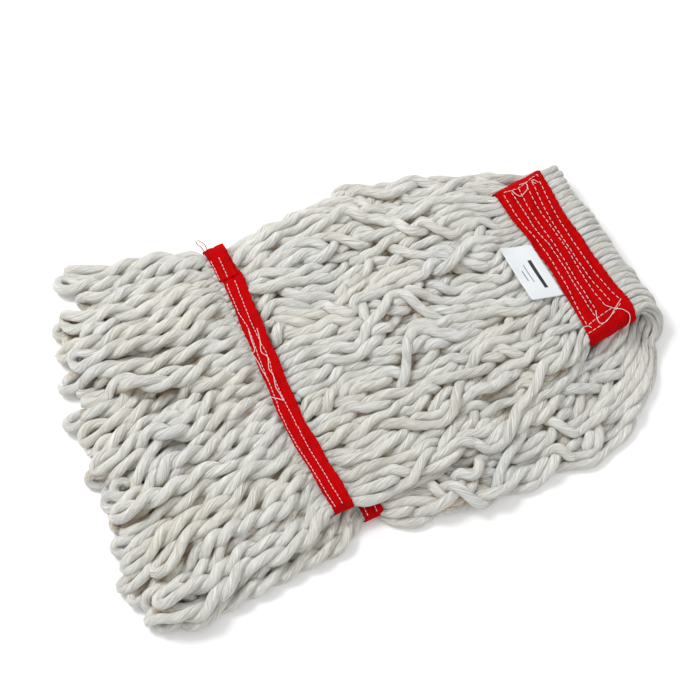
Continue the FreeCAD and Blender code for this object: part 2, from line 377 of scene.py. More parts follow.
def makeSatin(weave):
    look = labelLook
    material, tree, shader, way = newMaterial("satinLabel")
    wide, long = look["size"]
    threads = placeGroup(tree, weave, Across=reckon(tree, "MULTIPLY", way["X"], wide),
                         Along=reckon(tree, "MULTIPLY", way["Y"], long), Count=look["count"], Slant=0.0)
    inked = None
    for across, along, halfAcross, halfAlong, strength in look["bars"]:
        sides = []
        for value, middle, half in ((way["X"], across, halfAcross), (way["Y"], along, halfAlong)):
            away = reckon(tree, "ABSOLUTE", reckon(tree, "SUBTRACT", value, middle))
            sides.append(ramp(tree, away, half - look["barEdge"], half + look["barEdge"], 1.0, 0.0))
        mask = reckon(tree, "MULTIPLY", reckon(tree, "MULTIPLY", *sides), strength)
        inked = mask if inked is None else reckon(tree, "MAXIMUM", inked, mask)
    front = ramp(tree, attribute(tree, "front"), 0.4, 0.6)
    uneven = ramp(tree, threads["Slub"], 0.3, 0.7, 0.0, 0.12)
    colour = blendColours(tree, uneven, look["satin"], look["weft"])
    colour = blendColours(tree, reckon(tree, "MULTIPLY", inked, front), colour, look["ink"])
    addBump(tree, shader, threads["Height"], look["relief"])
    rough = ramp(tree, threads["Slub"], 0.3, 0.7, 0.34, 0.5)
    join(tree, shader, **{"Base Color": colour, "Roughness": rough})
    return material


twistedFibres = makeTwistGroup()
wovenThreads = makeWeaveGroup()
cotton = makeCotton(twistedFibres)
red = makeTape(wovenThreads)
white = makeThread(twistedFibres)
satin = makeSatin(wovenThreads)
print("materials are made")

# shapes


weaveLength = 25  # millimetres of cord in one unit of its own pattern
planCell = 4.0  # side of the square cells in which a pile's height is read


def smooth(start, end, value):  # 0 before start, 1 after end, and an eased step between
    part = np.clip((value - start) / (end - start), 0, 1)
    return part * part * (3 - 2 * part)


def resample(path, count):  # the same polyline with count points at even distances along it
    step = np.linalg.norm(np.diff(path, axis=0), axis=1)
    reached = np.concatenate([[0], np.cumsum(step)])
    wanted = np.linspace(0, reached[-1], count)
    return np.stack([np.interp(wanted, reached, path[:, axis]) for axis in range(3)], axis=1)


def curveThrough(points, spacing):
    # Catmull-Rom spline: each stretch blends its two ends with slopes from their neighbours
    points = np.asarray(points, float)
    padded = np.vstack([2 * points[0] - points[1], points, 2 * points[-1] - points[-2]])
    a, b, c, d = padded[:-3, None], padded[1:-2, None], padded[2:-1, None], padded[3:, None]
    u = np.linspace(0, 1, 12, endpoint=False)[None, :, None]
    body = 0.5 * (2 * b + (c - a) * u + (2 * a - 5 * b + 4 * c - d) * u**2
                  + (3 * b - a - 3 * c + d) * u**3)
    path = np.vstack([body.reshape(-1, 3), points[-1:]])
    length = np.linalg.norm(np.diff(path, axis=0), axis=1).sum()
    return resample(path, max(3, int(round(length / spacing)) + 1))


def carryFrames(paths):
    # side directions along each path: the first is square to the path, and each next one is
    # the last one turned with the least twist; paths is (strands, rings, 3)
    tangent = np.gradient(paths, axis=1)
    tangent /= np.linalg.norm(tangent, axis=2, keepdims=True) + 1e-9
    side = np.empty_like(tangent)
    first = np.cross(tangent[:, 0], [0.0, 0.05, 1.0])
    side[:, 0] = first / np.linalg.norm(first, axis=1, keepdims=True)
    for ring in range(1, paths.shape[1]):
        step = side[:, ring - 1] - tangent[:, ring] * (
            side[:, ring - 1] * tangent[:, ring]).sum(1, keepdims=True)
        side[:, ring] = step / (np.linalg.norm(step, axis=1, keepdims=True) + 1e-9)
    return side, np.cross(tangent, side)


def meshFrom(name, points, quads, ends=(), uv=None, values=None, material=None):
    # points in millimetres, quads as rows of four corners, ends as flat faces of many corners;
    # a face that crosses the seam of a ring takes its low side one turn further round
    mesh = bpy.data.meshes.new(name)
    faces = quads.tolist() + [list(face) for face in ends]
    mesh.from_pydata((points * metre).tolist(), [], faces)
    if uv is not None:
        layer = mesh.uv_layers.new(name="weave")
        loops = np.empty(len(mesh.loops), np.int64)
        mesh.loops.foreach_get("vertex_index", loops)
        across = uv[loops].copy()
        starts = np.empty(len(mesh.polygons), np.int64)
        totals = np.empty(len(mesh.polygons), np.int64)
        mesh.polygons.foreach_get("loop_start", starts)
        mesh.polygons.foreach_get("loop_total", totals)
        owner = np.repeat(np.arange(len(starts)), totals)
        highest = np.full(len(starts), -1e9)
        np.maximum.at(highest, owner, across[:, 0])
        wrap = (highest[owner] - across[:, 0] > 0.5) & (uv[:, 0].max() <= 1)
        across[:, 0] += wrap
        layer.data.foreach_set("uv", across.ravel())
    for word, value in (values or {}).items():
        attribute = mesh.attributes.new(word, "FLOAT", "POINT")
        attribute.data.foreach_set("value", np.asarray(value, np.float32))
    mesh.polygons.foreach_set("use_smooth", np.ones(len(mesh.polygons), bool))
    mesh.update()
    obj = bpy.data.objects.new(name, mesh)
    bpy.context.collection.objects.link(obj)
    if material:
        mesh.materials.append(material)
    return obj


def tubes(paths, radius, sides, lobes=0, lobeDepth=0.0, pitch=35.0, twist=0.0, flat=0.0):
    # a ring round every path point; its radius swells in lobes that wind along the path, and
    # flat widens it along Y and thins it the other ways; paths is (strands, rings, 3), evenly
    # spaced, and a flat face closes each end
    strands, rings = paths.shape[:2]
    side, up = carryFrames(paths)
    gap = np.linalg.norm(np.diff(paths, axis=1), axis=2)
    along = np.concatenate([np.zeros((strands, 1)), np.cumsum(gap, axis=1)], axis=1)
    angle = np.arange(sides) / sides * 2 * np.pi
    wind = 2 * np.pi * along / pitch + twist
    radius = np.broadcast_to(radius, (strands, rings))
    swell = 1.0
    if lobes:
        ply = np.abs(np.cos(lobes / 2 * (angle - wind[..., None])))
        swell = (1 - lobeDepth * (1 - ply)) * (1 + 0.05 * np.cos(2 * angle + wind[..., None] * 0.4))
    ringRadius = radius[..., None] * swell
    out = ringRadius[..., None] * (
        np.cos(angle)[:, None] * side[:, :, None] + np.sin(angle)[:, None] * up[:, :, None])
    flat = np.broadcast_to(flat, (strands, rings))[..., None]
    out[..., 0] *= 1 - flat
    out[..., 1] *= 1 + flat
    out[..., 2] *= 1 - flat
    points = paths[:, :, None] + out
    uv = np.stack(np.broadcast_arrays(np.arange(sides) / sides, along[..., None] / weaveLength), axis=-1)
    ring = np.arange(sides)
    grid = (np.arange(strands)[:, None, None] * rings + np.arange(rings - 1)[:, None]) * sides
    quads = np.stack([grid + ring, grid + (ring + 1) % sides,
                      grid + sides + (ring + 1) % sides, grid + sides + ring], axis=-1)
    starts = (np.arange(strands) * rings * sides)[:, None] + ring[::-1]
    finishes = starts[:, ::-1] + (rings - 1) * sides
    ends = np.vstack([starts, finishes]).tolist()
    return points.reshape(-1, 3), quads.reshape(-1, 4), ends, uv.reshape(-1, 2)


def gather(parts):  # several tubes as one
    points, quads, ends, uv, used = [], [], [], [], 0
    for part in parts:
        points.append(part[0])
        quads.append(part[1] + used)
        ends += [[corner + used for corner in face] for face in part[2]]
        uv.append(part[3])
        used += len(part[0])
    return np.vstack(points), np.vstack(quads), ends, np.vstack(uv)


def gridQuads(rows, columns, wrapRows, wrapColumns):
    # four neighbours of a grid make a face; a wrapped side closes on its start
    down = np.arange(rows if wrapRows else rows - 1)[:, None]
    over = np.arange(columns if wrapColumns else columns - 1)[None]
    nextDown, nextOver = (down + 1) % rows, (over + 1) % columns
    corners = [down * columns + over, down * columns + nextOver,
               nextDown * columns + nextOver, nextDown * columns + over]
    spreadOut = [np.broadcast_to(corner, (down.size, over.size)) for corner in corners]
    return np.stack(spreadOut, axis=-1).reshape(-1, 4)


# how loose cord settles


def closePairs(points, strand, order, reach):
    # pairs nearer than reach: points are sorted into cubes and each cube meets its neighbours
    cell = np.floor((points - points.min(0)) / reach).astype(np.int64) + 1
    size = cell.max(0) + 2
    key = (cell[:, 0] * size[1] + cell[:, 1]) * size[2] + cell[:, 2]
    rank = np.argsort(key, kind="stable")
    sortedKey = key[rank]
    here = np.arange(len(points))
    found = []
    for x in (0, 1):
        for y in (-1, 0, 1):
            for z in (-1, 0, 1):
                if (x, y, z) < (0, 0, 0):
                    continue
                wanted = key + (x * size[1] + y) * size[2] + z
                first = np.searchsorted(sortedKey, wanted, "left")
                count = np.searchsorted(sortedKey, wanted, "right") - first
                a = np.repeat(here, count)
                offset = np.arange(count.sum()) - np.repeat(np.cumsum(count) - count, count)
                b = rank[np.repeat(first, count) + offset]
                keep = (a < b) if (x, y, z) == (0, 0, 0) else np.ones(len(a), bool)
                found.append(np.stack([a[keep], b[keep]]))
    a, b = np.concatenate(found, axis=1)
    near = np.linalg.norm(points[a] - points[b], axis=1) < reach
    apart = (strand[a] != strand[b]) | (np.abs(order[a] - order[b]) > 4)
    return a[near & apart], b[near & apart]


def settle(paths, held, thickness, rounds, floor, still=None, stillThickness=None,
           weight=0.12, stiffness=0.12, roof=None):
    # Position-based cords: each round pulls them down a little, pushes touching cords apart,
    # evens out sharp bends and then restores every link's length. held marks pinned points,
    # and still is a cloud of points that others lie on.
    strands, count = paths.shape[:2]
    points = paths.reshape(-1, 3).copy()
    strand = np.repeat(np.arange(strands), count)
    order = np.tile(np.arange(count), strands)
    loose = ~held.reshape(-1)
    girth = np.broadcast_to(thickness, (strands, count)).reshape(-1).astype(float)
    links = np.linalg.norm(np.diff(paths, axis=1), axis=2)
    if still is not None and len(still):
        everything = np.vstack([points, still])
        strand = np.concatenate([strand, np.full(len(still), -1)])
        order = np.concatenate([order, np.zeros(len(still), int)])
        loose = np.concatenate([loose, np.zeros(len(still), bool)])
        girth = np.concatenate([girth, np.full(len(still), stillThickness)])
    else:
        everything = points
    own = strands * count
    mobile = loose.astype(float)
    reach = girth.max() * 1.35
    for turn in range(rounds):
        if turn % 6 == 0:
            a, b = closePairs(everything, strand, order, reach)
            usable = loose[a] | loose[b]
            a, b = a[usable], b[usable]
            want = (girth[a] + girth[b]) / 2
            share = mobile[a] + mobile[b]
        everything[:own, 2] -= weight * mobile[:own]
        between = everything[a] - everything[b]
        distance = np.linalg.norm(between, axis=1) + 1e-6
        push = np.clip(want - distance, 0, None) / distance / share * 0.5
        shove = between * push[:, None]
        move = np.zeros_like(everything)
        for axis in range(3):
            move[:, axis] += np.bincount(a, shove[:, axis] * mobile[a], len(everything))
            move[:, axis] -= np.bincount(b, shove[:, axis] * mobile[b], len(everything))
        everything += np.clip(move, -1.5, 1.5)
        cord = everything[:own].reshape(strands, count, 3)
        free = loose[:own].reshape(strands, count, 1)
        middle = (cord[:, :-2] + cord[:, 2:]) / 2
        cord[:, 1:-1] += stiffness * (middle - cord[:, 1:-1]) * free[:, 1:-1]
        for parity in (0, 1, 0, 1):
            left, right = cord[:, parity:-1:2], cord[:, parity + 1::2]
            width = min(left.shape[1], right.shape[1])
            left, right = left[:, :width], right[:, :width]
            gap = right - left
            length = np.linalg.norm(gap, axis=2, keepdims=True) + 1e-6
            freeLeft = free[:, parity:-1:2][:, :width]
            freeRight = free[:, parity + 1::2][:, :width]
            both = np.maximum(freeLeft.astype(float) + freeRight, 1e-6)
            pull = gap * (1 - links[:, parity::2][:, :width, None] / length) / both
            left += pull * freeLeft
            right -= pull * freeRight
        height = cord[..., 2]
        height[:] = np.where(free[..., 0], np.maximum(height, floor), height)
        if roof is not None:
            height[:] = np.where(free[..., 0], np.minimum(height, roof), height)
        everything[:own] = cord.reshape(-1, 3)
    return everything[:own].reshape(strands, count, 3)


# the cords

yarn = {
    "seed": 7,
    "cords": 72,
    "girth": 7.5,  # a relaxed cord's thickness
    "pressed": 5.4,  # in the bands and at the fold
    "soft": 1.14,  # loose cords press into each other by the share above 1
    "flat": 0.2,  # how much wider and thinner a pressed cord is
    "cover": 1.9,  # tape, quilting and slack over the cords in a band
    "link": 4.0,  # between the points that settle
    "ring": 2.6,  # between the rings of a finished cord
    "sides": 16,
    "lobes": 4,
    "lobeDepth": 0.08,
    "pitch": 58.0,
    "rounds": 240,
    "waves": (  # bends between the bands, their size, and how far neighbours bend alike
        (2, 7.0, 0.84),
        (4, 6.4, 0.86),
        (6, 4.8, 0.88),
        (8, 2.8, 0.84),
        (11, 1.5, 0.75),
        (15, 0.8, 0.5),
    ),
    "shuffle": 1.7,  # how far a cord strays from its place between the bands
    "tailRows": 2,  # rows of cords on top of each other in a tail band
    "headRows": 3,
    # distances from the head band's edge, the fold and a cord's end between which it is loose
    # at one and pressed at the other
    "grip": {"head": (24, 1), "fold": (30, 8), "tail": (17, 32)},
    "cuts": (6, 20),  # where a cord is cut: before the fold line, and inside the head band
    # its uneven thickness: share, turn from ring to ring, shift from cord to cord
    "wobble": ((0.05, 0.33, 50), (0.04, 0.117, 90)),
    "bend": 2.2,  # half the height over which the fold turns from one half to the other
    "floor": 0.05,  # the lowest a cord's surface comes
}
tail = {
    "lean": math.radians(4.9),
    "hem": 3.0,
    "width": 17.0,
    "length": 248.0,
}
course = {  # a cord's way before it settles
    "points": 61,  # between two bands
    "stations": (0, 0.3, 0.6, 0.85, 1),  # from the tail band, as shares of that way
    "tailShare": {"upper": 0.4, "lower": 0.66},  # how far out the second one is, of the third
    "headShare": 0.45,  # how far out the fourth one is, of the third
    "rounding": 6,  # points on each side over which its corners are rounded
    "lift": 0.25,  # a bend's height, as a share of its size across
    "calm": (0.1, 0.25),  # share of the way without bends, and what the nearest cords add to it
    "fade": 0.86,  # where the bends start to fade before the head band
    "margin": 4,  # from the head band's ends to the first and the last cord
    "puff": (-0.6, 2.4),  # how unevenly the cords stand out at the fold
}
headSpan = (headLow[1] + course["margin"], headHigh[1] - course["margin"])
spans = {  # lowest and highest y of the cords under the fold, beside the head band, in the middle
    "upper": (headSpan, headSpan, (-134.0, 88.0)),
    "lower": ((-126.0, 52.0), (-158.0, 58.0), (-177.0, 98.0)),
}
rng = np.random.default_rng(yarn["seed"])


def tailPoint(layer, across, along):  # a point of a tail band, in its own leaning frame
    low, high = tailBoxes[layer]
    middle = (low + high) / 2
    lean = tail["lean"]
    x = middle[0] + math.cos(lean) * across + math.sin(lean) * along
    y = middle[1] - math.sin(lean) * across + math.cos(lean) * along
    return x, y, low[2] + yarn["cover"]


def tailSlot(layer, place):  # where a cord passes a tail band: columns of two
    columns = yarn["cords"] // yarn["tailRows"]
    column, row = place // yarn["tailRows"], place % yarn["tailRows"]
    room = tail["length"] - 2 * tail["hem"]
    along = ((column + 0.5) / columns - 0.5) * room
    x, y, floor = tailPoint(layer, 0, along)
    height = (tailBoxes[layer][1][2] - tailBoxes[layer][0][2]) - 2 * yarn["cover"]
    return x, y, floor + (row + 0.5) * height / yarn["tailRows"]


def headSlot(number):  # columns of three in the head band; depth is from the fold's middle
    columns = math.ceil(yarn["cords"] / yarn["headRows"])
    column, row = number // yarn["headRows"], number % yarn["headRows"]
    row = (row + column) % yarn["headRows"]
    part = (column + 0.5) / columns
    inner = headLow[2] + yarn["cover"] - foldLine[1]
    depth = inner + (row + 0.5) * (headHigh[2] - headLow[2] - 2 * yarn["cover"]) / yarn["headRows"]
    return part, depth


def sharedNoise(kin):  # random numbers per cord, alike in neighbours when kin is large
    raw = rng.normal(size=yarn["cords"] + 8 * kin + 1)
    window = np.hanning(2 * kin + 3)[1:-1]
    blurred = np.convolve(raw, window / np.sqrt((window**2).sum()), "valid")
    return blurred[:yarn["cords"]]


def spread(share, layer):  # the three y values of a cord at its share of each span
    return [low + share * (high - low) for low, high in spans[layer]]


def drawWaves():
    # for each number of bends: the cosine's, the sine's and the lift's size in every cord
    waves = {}
    for bends, size, alike in yarn["waves"]:
        own = math.sqrt(1 - alike**2)
        waves[bends] = (
            size * (alike * sharedNoise(4) + own * sharedNoise(0)),
            size * (alike * sharedNoise(4) + own * sharedNoise(0)),
            course["lift"] * size * sharedNoise(0),
        )
    return waves


def layerRun(layer, number, place, waves):
    # from a tail band to the head band, or under it: a curve through five stations, with bends
    # that fade out at both ends
    share, depth = headSlot(number)
    tailX, tailY, tailZ = tailSlot(layer, place)
    _, headY, middleY = spread(share, layer)
    upper = layer == "upper"
    first = tailX + tail["width"] / 2 + 1
    last = headLow[0] - 1 if upper else headLow[0] + 10
    headZ = foldLine[1] + (depth if upper else -depth)
    part = np.linspace(0, 1, course["points"])
    x = first + (last - first) * part
    y = np.interp(part, course["stations"], (
        tailY, tailY + (middleY - tailY) * course["tailShare"][layer], middleY,
        headY + (middleY - headY) * course["headShare"], headY))
    wide = course["rounding"]
    blur = np.hanning(2 * wide + 3)[1:-1] / (wide + 1)
    y = np.convolve(np.pad(y, wide, "reflect", reflect_type="odd"), blur, "valid")
    z = tailZ + (headZ - tailZ) * part
    calm = course["calm"][0] + course["calm"][1] * smooth(0.08, 0.02, share)
    free = smooth(0, calm, part) * smooth(1, course["fade"], part)
    for bends, (cosine, sine, lift) in waves.items():
        turn = np.pi * bends * part
        y = y + free * (cosine[number] * np.cos(turn) + sine[number] * np.sin(turn))
        z = z + free * lift[number] * np.sin(turn + 1.3 * bends)
    inBand = (tailX - (tail["width"] + 2) / 2, tailY, tailZ)
    return np.vstack([[inBand], np.stack([x, y, z], axis=1)])


def foldRun(number):
    # half a turn round the fold, which draws the cords together, and on into the head band
    share, depth = headSlot(number)
    turn = np.radians(np.linspace(-90, 90, 13))
    headY = headSpan[0] + share * (headHigh[1] - headLow[1] - 2 * course["margin"])
    foldY = headY + (spread(share, "lower")[0] - headY) * smooth(90, -90, np.degrees(turn))
    puff = depth + rng.uniform(*course["puff"]) * np.cos(turn)
    arc = np.stack([foldLine[0] + puff * np.cos(turn), foldY,
                    foldLine[1] + depth * np.sin(turn)], axis=1)
    inBand = np.stack([np.linspace(headHigh[0] + 0.5, headLow[0] + 3, 9), np.full(9, headY),
                       np.full(9, foldLine[1] + depth)], axis=1)
    return np.vstack([arc, inBand])


def firstCourses():
    # out of the lower tail band, under the head band, round the fold, through the head band and
    # along to the upper tail band
    places = {layer: np.argsort(np.arange(yarn["cords"]) + rng.normal(
        scale=yarn["shuffle"], size=yarn["cords"])).argsort() for layer in ("lower", "upper")}
    waves = {layer: drawWaves() for layer in ("lower", "upper")}
    paths = []
    for number in range(yarn["cords"]):
        lower, upper = (
            layerRun(layer, number, places[layer][number], waves[layer]) for layer in ("lower", "upper"))
        paths.append(np.vstack([lower, foldRun(number), upper[::-1]]))
    return paths


def settleCords():
    # cords are pinned in the bands and round the fold, and pressed there and a little beyond
    courses = firstCourses()
    longest = max(np.linalg.norm(np.diff(path, axis=0), axis=1).sum() for path in courses)
    count = int(round(longest / yarn["link"])) + 1
    paths = np.stack([resample(path, count) for path in courses])
    x, z = paths[..., 0], paths[..., 2]
    upper = z > foldLine[1]
    headZone = upper & (x > headLow[0] - 2)
    foldZone = x > foldLine[0] - 3
    held = headZone | foldZone
    held[:, :4] = True
    held[:, -4:] = True
    grip = yarn["grip"]
    firm = smooth(headLow[0] - grip["head"][0], headLow[0] - grip["head"][1], x) * upper
    firm = np.maximum(firm, smooth(foldLine[0] - grip["fold"][0], foldLine[0] - grip["fold"][1], x))
    ends = np.minimum(np.arange(count), np.arange(count)[::-1]) * yarn["link"]
    firm = np.maximum(firm, 1 - smooth(*grip["tail"], ends)[None])
    girth = yarn["girth"] + (yarn["pressed"] - yarn["girth"]) * firm
    paths = settle(paths, held, girth * 0.97, yarn["rounds"], girth / 2)
    return paths, girth, firm


def sliceCords(paths, girth, firm):
    # splits the settled cords into the lower run, the fold and the upper run, hidden in the
    # bands or where both sides lie alike
    count = int(round(np.linalg.norm(np.diff(paths, axis=1), axis=2).sum(1).max() / yarn["ring"]))
    fine, thick, pressed, zone = [], [], [], []
    for path, width, hold in zip(paths, girth, firm):
        way = resample(curveThrough(path, yarn["ring"]), count)
        fine.append(way)
        for values, into in ((width, thick), (hold, pressed)):
            into.append(np.interp(np.linspace(0, 1, count), np.linspace(0, 1, len(values)), values))
        first = np.argmax(way[:, 0] > foldLine[0] - yarn["cuts"][0])
        last = count - 1 - np.argmax(way[::-1, 0] > headLow[0] + yarn["cuts"][1])
        zone.append((first, last))
    return np.array(fine), np.array(thick), np.array(pressed), np.array(zone)


def cordPiece(name, runs, widths, firm, starts, tone, body, node):
    # joins several tubes of different length into one piece; firm is 1 where they are pressed,
    # and start is how far along its cord a run begins, which keeps its plies and pattern going
    parts, tones = [], []
    for run, width, hold, start, shade in zip(runs, widths, firm, starts, tone):
        radius = width / 2 * (yarn["soft"] + (1 - yarn["soft"]) * hold)
        twist = 2 * np.pi * start / yarn["pitch"] + shade * 9
        points, quads, ends, uv = tubes(run[None], radius[None], yarn["sides"], yarn["lobes"],
                                        yarn["lobeDepth"], yarn["pitch"], twist, hold[None] * yarn["flat"])
        points[:, 2] = np.maximum(points[:, 2], yarn["floor"])  # soft cord goes flat on the floor
        parts.append((points, quads, ends, uv + (0, start / weaveLength + shade * 40)))
        tones.append(np.full(len(points), shade))
    points, quads, ends, uv = gather(parts)
    values = {"tone": np.concatenate(tones), "depth": np.zeros(len(points))}
    piece = meshFrom(name, points, quads, ends, uv, values, cotton)
    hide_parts(node)
    if body:
        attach(piece, body)
    return piece


def makeYarn():
    paths, girth, firm = settleCords()
    print("cords have settled, highest point", round(float(paths[..., 2].max()), 1), "mm")
    fine, thick, pressed, zone = sliceCords(paths, girth, firm)
    tone = rng.random(yarn["cords"])
    wobble = 1.0
    for share, turn, shift in yarn["wobble"]:
        wobble = wobble + share * np.sin(np.arange(fine.shape[1]) * turn + tone[:, None] * shift)
    thick = thick * wobble
    perHank = yarn["cords"] // hankCount
    for hank in range(hankCount):
        mine = range(hank * perHank, (hank + 1) * perHank)
        for place, word in enumerate(("lower_yarn", "fold_yarn", "upper_yarn")):
            runs, widths, holds, starts = [], [], [], []
            for cord in mine:
                first, last = zone[cord]
                cut = (slice(0, first + 1), slice(first, last + 1), slice(last, None))[place]
                runs.append(fine[cord, cut])
                widths.append(thick[cord, cut])
                holds.append(pressed[cord, cut])
                starts.append(cut.start * yarn["ring"])
            body = ("lower_half", None, "upper_half")[place]
            piece = cordPiece(f"{word}_cords_{hank + 1}", runs, widths, holds, starts, tone[mine], body,
                              f"{word}_{hank + 1}")
            piles[word.split("_")[0]].append(piece)
            if not body:
                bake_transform(piece)


piles = {"lower": [], "fold": [], "upper": []}
makeYarn()
print("cords are made")


# the fringes of loops

loops = {
    "perHank": 4,
    "rope": 11.2,  # thickness of the twisted pair as it settles
    "leg": 7.5,  # thickness of one of the pair
    "pressed": 5.0,  # a leg inside the tail band
    "apart": 3.3,  # from the pair's middle to each leg's
    "lay": 43.0,  # length of one full twist of the pair
    "rounds": 220,
    "weight": 0.16,
    "stiffness": 0.2,
    "inside": 6.0,  # how far a loop starts inside the tail band
    "stack": (-1.5, 3.5),  # every other loop leaves the band a little lower or higher
    "reach": {"upper": (166.0, 124.0), "lower": (176.0, 128.0)},  # near and far edge
    "splay": {"upper": (-5.0, 27.0), "lower": (2.0, 12.0)},  # degrees
    "uneven": (0.0, -13.0, -4.0, -18.0, -7.0, 2.0, -11.0),  # added to the reach, loop by loop
    "wander": ((1.5, 3.2), (3.0, 2.6), (5.0, 1.7)),  # bends along a loop, and their size
    "eye": (4.1, 6.6),  # half the eye's width, from its own middle to the legs' middles
    "eyeLength": (7.0, 14.0),
}


def loopCourses(layer):
    # the middle line of each pair: straight out of the tail band, then splayed, with a few bends
    count = loops["perHank"] * hankCount
    room = tail["length"] - 2 * tail["hem"]
    points = int(loops["reach"][layer][0] / yarn["link"]) + 4
    courses = []
    for number in range(count):
        part = number / (count - 1)
        near, far = loops["reach"][layer]
        uneven = loops["uneven"]
        reach = near - (near - far) * part**2 + uneven[(number * 3 + (layer == "lower")) % len(uneven)]
        reach += rng.normal(scale=3)
        first, last = loops["splay"][layer]
        splay = math.radians(first + (last - first) * part + rng.normal(scale=2.2))
        along = ((number + 0.5) / count - 0.5) * room
        x, y, floor = tailPoint(layer, loops["inside"] - tail["width"] / 2, along)
        way = np.linspace(0, reach + loops["inside"], points)
        sway = np.zeros(points)
        for bends, size in loops["wander"]:
            sway += size * rng.normal() * np.sin(np.pi * bends * way / reach + rng.uniform(0, 6.28))
        sway = (sway - sway[0]) * smooth(8, 45, way)
        height = (tailBoxes[layer][1][2] - tailBoxes[layer][0][2]) / 2 - yarn["cover"]
        stack = loops["stack"][number % 2] * smooth(10, 60, way)
        straight = smooth(4, 30, way)
        turn = splay * straight
        stepX = -np.cos(turn)
        stepY = np.sin(turn)
        gap = way[1] - way[0]
        courseX = x + np.concatenate([[0], np.cumsum(stepX[1:] * gap)])
        courseY = y + np.concatenate([[0], np.cumsum(stepY[1:] * gap)])
        courses.append(np.stack([courseX + sway * np.sin(turn), courseY + sway,
                                 floor + height + stack], axis=1))
    return np.array(courses)


def twistPair(knots, eyeWidth, eyeLength, phase, lay):
    # two legs wind round a line like a two-strand rope and part near its end in an eye;
    # the way goes out along one leg, round the tip and back along the other
    line = curveThrough(knots, 1.0)
    length = len(line) - 1.0
    eyeStart = length - eyeLength
    plain = np.linspace(0, eyeStart, 110)[:-1]
    turn = np.linspace(0, np.pi / 2, 16)
    way = np.concatenate([plain, eyeStart + eyeLength * np.sin(turn)])
    widening = smooth(eyeStart - eyeLength * 1.3, eyeStart, plain)
    near = loops["apart"] * (0.55 + 0.45 * smooth(6, 26, plain))
    apart = np.concatenate([near + (eyeWidth - near) * widening, eyeWidth * np.cos(turn)])
    # the legs lie side by side in the band and in the eye, so the twist is whole half turns
    twistEnd = eyeStart - eyeLength * 0.9
    twisted = twistEnd - 10
    halfTurns = max(1, round(2 * twisted / lay))
    spin = phase + np.pi * halfTurns * np.clip(twistEnd - way, 0, twisted) / twisted
    side, up = (field[0] for field in carryFrames(line[None]))
    at = np.clip(way, 0, length)
    low = np.minimum(at.astype(int), len(line) - 2)
    mix = (at - low)[:, None]
    centre, across, lift = (
        field[low] * (1 - mix) + field[low + 1] * mix for field in (line, side, up))
    offset = apart[:, None] * (np.cos(spin)[:, None] * across + np.sin(spin)[:, None] * lift)
    return np.vstack([centre + offset, (centre - offset)[::-1][1:]])


def makeLoops(layer, still):
    # the pairs settle on the loops below them, still, and are then wound and cut into hanks
    courses = loopCourses(layer)
    held = np.zeros(courses.shape[:2], bool)
    held[:, :4] = True
    way = np.arange(courses.shape[1]) * yarn["link"]
    rope = loops["rope"] * (0.62 + 0.38 * smooth(10, 45, way))
    thick = np.broadcast_to(rope, courses.shape[:2])
    courses = settle(courses, held, thick, loops["rounds"], rope * 0.55, still, loops["rope"],
                     loops["weight"], loops["stiffness"])
    runs = []
    for line in courses:
        eyeWidth = rng.uniform(*loops["eye"])
        eyeLength = rng.uniform(*loops["eyeLength"])
        phase = rng.normal(scale=0.3)
        lay = loops["lay"] * rng.uniform(0.8, 1.5)
        runs.append(twistPair(line, eyeWidth, eyeLength, phase, lay))
    perHank = loops["perHank"]
    for hank in range(hankCount):
        mine = range(hank * perHank, (hank + 1) * perHank)
        chosen = []
        for number in mine:
            length = np.linalg.norm(np.diff(runs[number], axis=0), axis=1).sum()
            chosen.append(resample(runs[number], int(length / yarn["ring"]) + 1))
        widths, holds = [], []
        for run in chosen:
            ring = np.arange(len(run)) * yarn["ring"]
            hold = 1 - smooth(7, 24, np.minimum(ring, ring[::-1]))
            width = loops["leg"] + (loops["pressed"] - loops["leg"]) * hold
            widths.append(width * (1 + 0.06 * np.sin(ring * 0.13 + rng.uniform(0, 6))))
            holds.append(hold)
        piece = cordPiece(f"{layer}_loop_cords_{hank + 1}", chosen, widths, holds, np.zeros(perHank),
                          rng.random(perHank), layer + "_fringe", f"{layer}_loops_{hank + 1}")
        piles[layer].append(piece)
    return courses


lowerLoops = makeLoops("lower", np.zeros((0, 3)))
upperLoops = makeLoops("upper", lowerLoops.reshape(-1, 3))
print("loops are made, highest point", round(float(upperLoops[..., 2].max()), 1), "mm")


def pointsOf(piece):
    points = np.empty(len(piece.data.vertices) * 3)
    piece.data.vertices.foreach_get("co", points)
    return points.reshape(-1, 3) / metre


def envelope(points, highest=True):
    # the highest or lowest point in each square cell of a floor plan, and its corner
    corner = points[:, :2].min(0) - planCell
    place = ((points[:, :2] - corner) / planCell).astype(int)
    size = place.max(0) + 2
    plan = np.full(size, -1e3 if highest else 1e3)
    (np.maximum if highest else np.minimum).at(plan, (place[:, 0], place[:, 1]), points[:, 2])
    return plan, corner


# painted shade: the depth found here darkens the cotton's colour inside a pile
def pileShadeDepths(pieces, start=2.4, reach=5.5):
    # how far a point lies inside its pile: the smaller of its distances to the top and the
    # underside over the same spot
    clouds = [pointsOf(piece) for piece in pieces]
    everything = np.vstack(clouds)
    top, corner = envelope(everything)
    under, corner = envelope(everything, False)
    for piece, cloud in zip(pieces, clouds):
        place = tuple(((cloud[:, :2] - corner) / planCell).astype(int).T)
        inside = np.minimum(top[place] - cloud[:, 2], cloud[:, 2] - under[place])
        depth = np.clip((inside - start) / reach, 0, 1).astype(np.float32)
        piece.data.attributes["depth"].data.foreach_set("value", depth)
    return top, corner


roofs = {layer: pileShadeDepths(piles[layer]) for layer in ("lower", "upper")}

# tapes sewn round the cords

